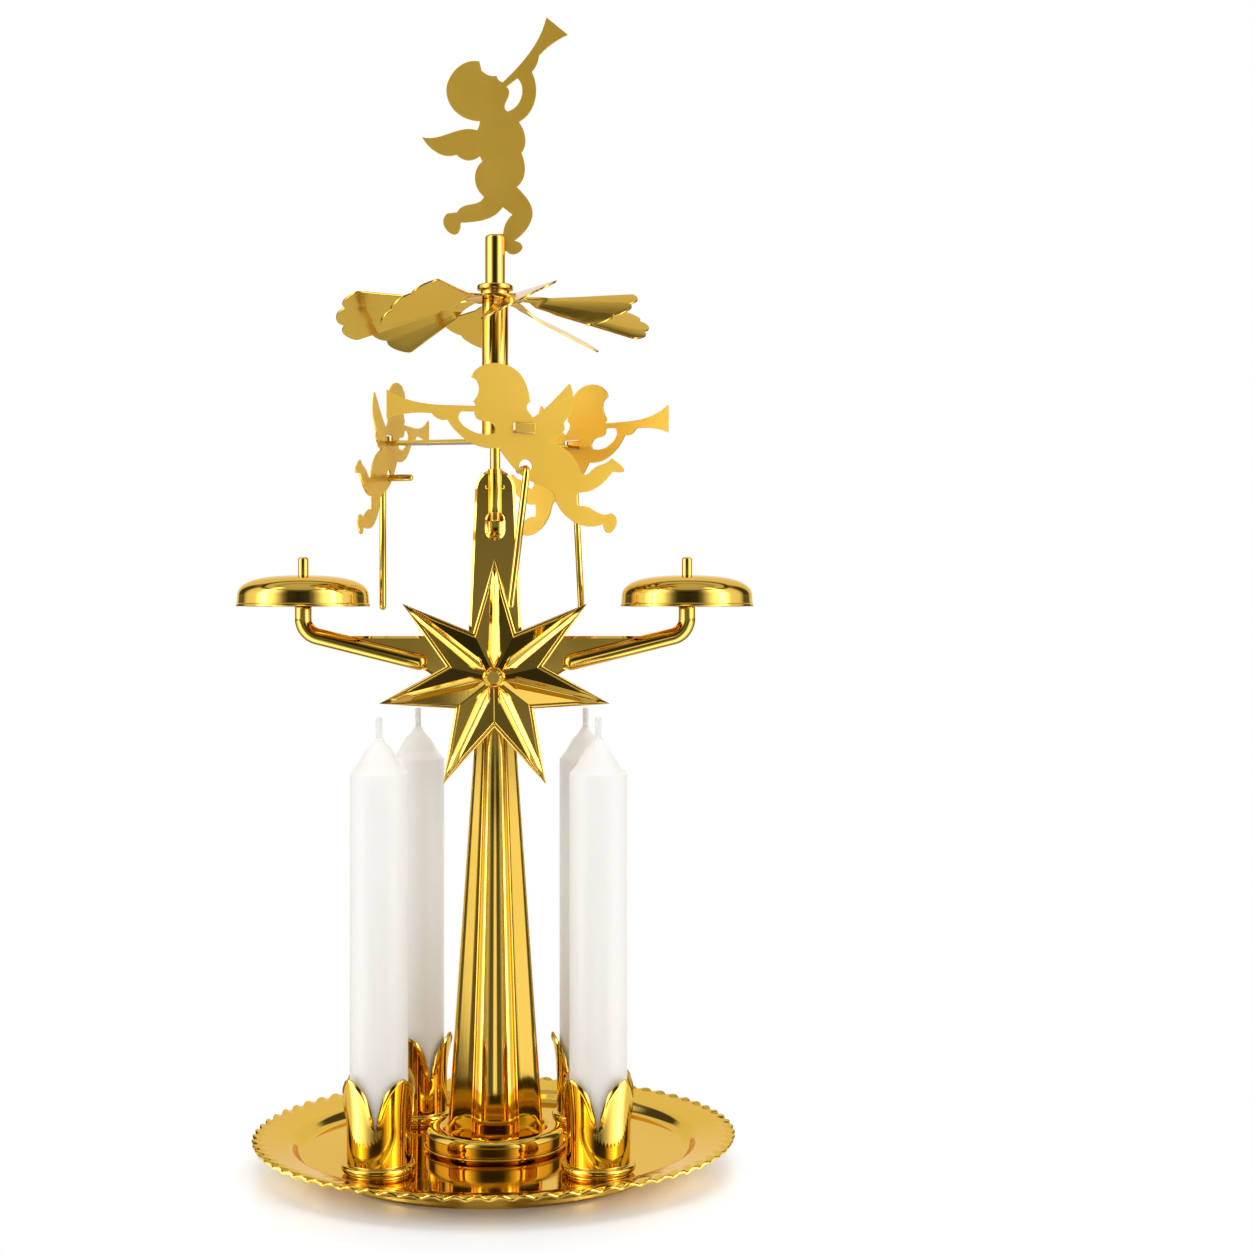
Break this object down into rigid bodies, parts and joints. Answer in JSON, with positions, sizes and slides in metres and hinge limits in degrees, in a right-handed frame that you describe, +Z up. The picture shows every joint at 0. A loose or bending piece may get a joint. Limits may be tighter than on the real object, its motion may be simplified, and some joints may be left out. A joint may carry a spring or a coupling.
{
  "type": "angel chime carousel",
  "caption": "Candle carousel of pressed brass: rising heat turns a fan with trumpet figures whose hanging strikers ring bells beside a star above a scalloped tray.",
  "frame": {"origin": "middle of the foot ring on the table, under the needle", "axes": "+Z up along the needle, +X towards the right bell, -Y towards the front of the star"},
  "size_m": [0.1292, 0.12, 0.2861],
  "materials": {
    "polished_brass": "mirror polished",
    "satin_brass": "satin sheet",
    "bearing_steel": "ground",
    "candle_wax": "smooth wax",
    "wick_cotton": "waxed cotton"
  },
  "bodies": {
    "stand": {"base_foot": "polished_brass", "base_plate": "polished_brass", "stem_base": "polished_brass", "candle_holder_front_left": "polished_brass", "candle_holder_front_right": "polished_brass", "candle_holder_back_left": "polished_brass", "candle_holder_back_right": "polished_brass", "holder_rivet_front_left": "polished_brass", "holder_rivet_front_right": "polished_brass", "holder_rivet_back_left": "polished_brass", "holder_rivet_back_right": "polished_brass", "stem": "polished_brass", "bell_arms": "polished_brass", "star": "polished_brass", "star_rivet": "polished_brass", "needle": "polished_brass"},
    "carousel": {"pivot_cup": "bearing_steel", "figure_post": "polished_brass", "hub_tube": "polished_brass", "fan": "satin_brass", "fan_collar": "polished_brass", "angel_carrier": "polished_brass", "angel_front": "satin_brass", "angel_left": "satin_brass", "angel_back": "satin_brass", "top_angel": "satin_brass"},
    "striker_front": {"striker_front": "polished_brass"},
    "striker_left": {"striker_left": "polished_brass"},
    "striker_back": {"striker_back": "polished_brass"},
    "bell_left": {"bell_left": "polished_brass"},
    "bell_right": {"bell_right": "polished_brass"},
    "candle_front_left": {"candle_front_left": "candle_wax", "wick_front_left": "wick_cotton"},
    "candle_front_right": {"candle_front_right": "candle_wax", "wick_front_right": "wick_cotton"},
    "candle_back_left": {"candle_back_left": "candle_wax", "wick_back_left": "wick_cotton"},
    "candle_back_right": {"candle_back_right": "candle_wax", "wick_back_right": "wick_cotton"}
  },
  "joints": [
    {"name": "carousel_spin", "type": "hinge", "parent": "stand", "child": "carousel", "pos_m": [0, 0, 0.208], "axis": [0, 0, 1], "continuous": true},
    {"name": "striker_front_swing", "type": "hinge", "parent": "carousel", "child": "striker_front", "pos_m": [0.00891, -0.02644, 0.1712], "axis": [0.309, -0.9511, 0], "range_deg": [-5, 19]},
    {"name": "striker_left_swing", "type": "hinge", "parent": "carousel", "child": "striker_left", "pos_m": [-0.02735, 0.00551, 0.1712], "axis": [-0.9781, 0.2079, 0], "range_deg": [-12, 12]},
    {"name": "striker_back_swing", "type": "hinge", "parent": "carousel", "child": "striker_back", "pos_m": [0.01845, 0.02093, 0.1712], "axis": [0.6691, 0.7431, 0], "range_deg": [-8, 16]},
    {"name": "bell_left_spin", "type": "hinge", "parent": "stand", "child": "bell_left", "pos_m": [-0.048, 0, 0.145], "axis": [0, 0, 1], "continuous": true},
    {"name": "bell_right_spin", "type": "hinge", "parent": "stand", "child": "bell_right", "pos_m": [0.048, 0, 0.145], "axis": [0, 0, 1], "continuous": true},
    {"name": "candle_front_left_lift", "type": "slide", "parent": "stand", "child": "candle_front_left", "axis": [0, 0, 1], "range_m": [0, 0.024]},
    {"name": "candle_front_right_lift", "type": "slide", "parent": "stand", "child": "candle_front_right", "axis": [0, 0, 1], "range_m": [0, 0.024]},
    {"name": "candle_back_left_lift", "type": "slide", "parent": "stand", "child": "candle_back_left", "axis": [0, 0, 1], "range_m": [0, 0.024]},
    {"name": "candle_back_right_lift", "type": "slide", "parent": "stand", "child": "candle_back_right", "axis": [0, 0, 1], "range_m": [0, 0.024]}
  ]
}
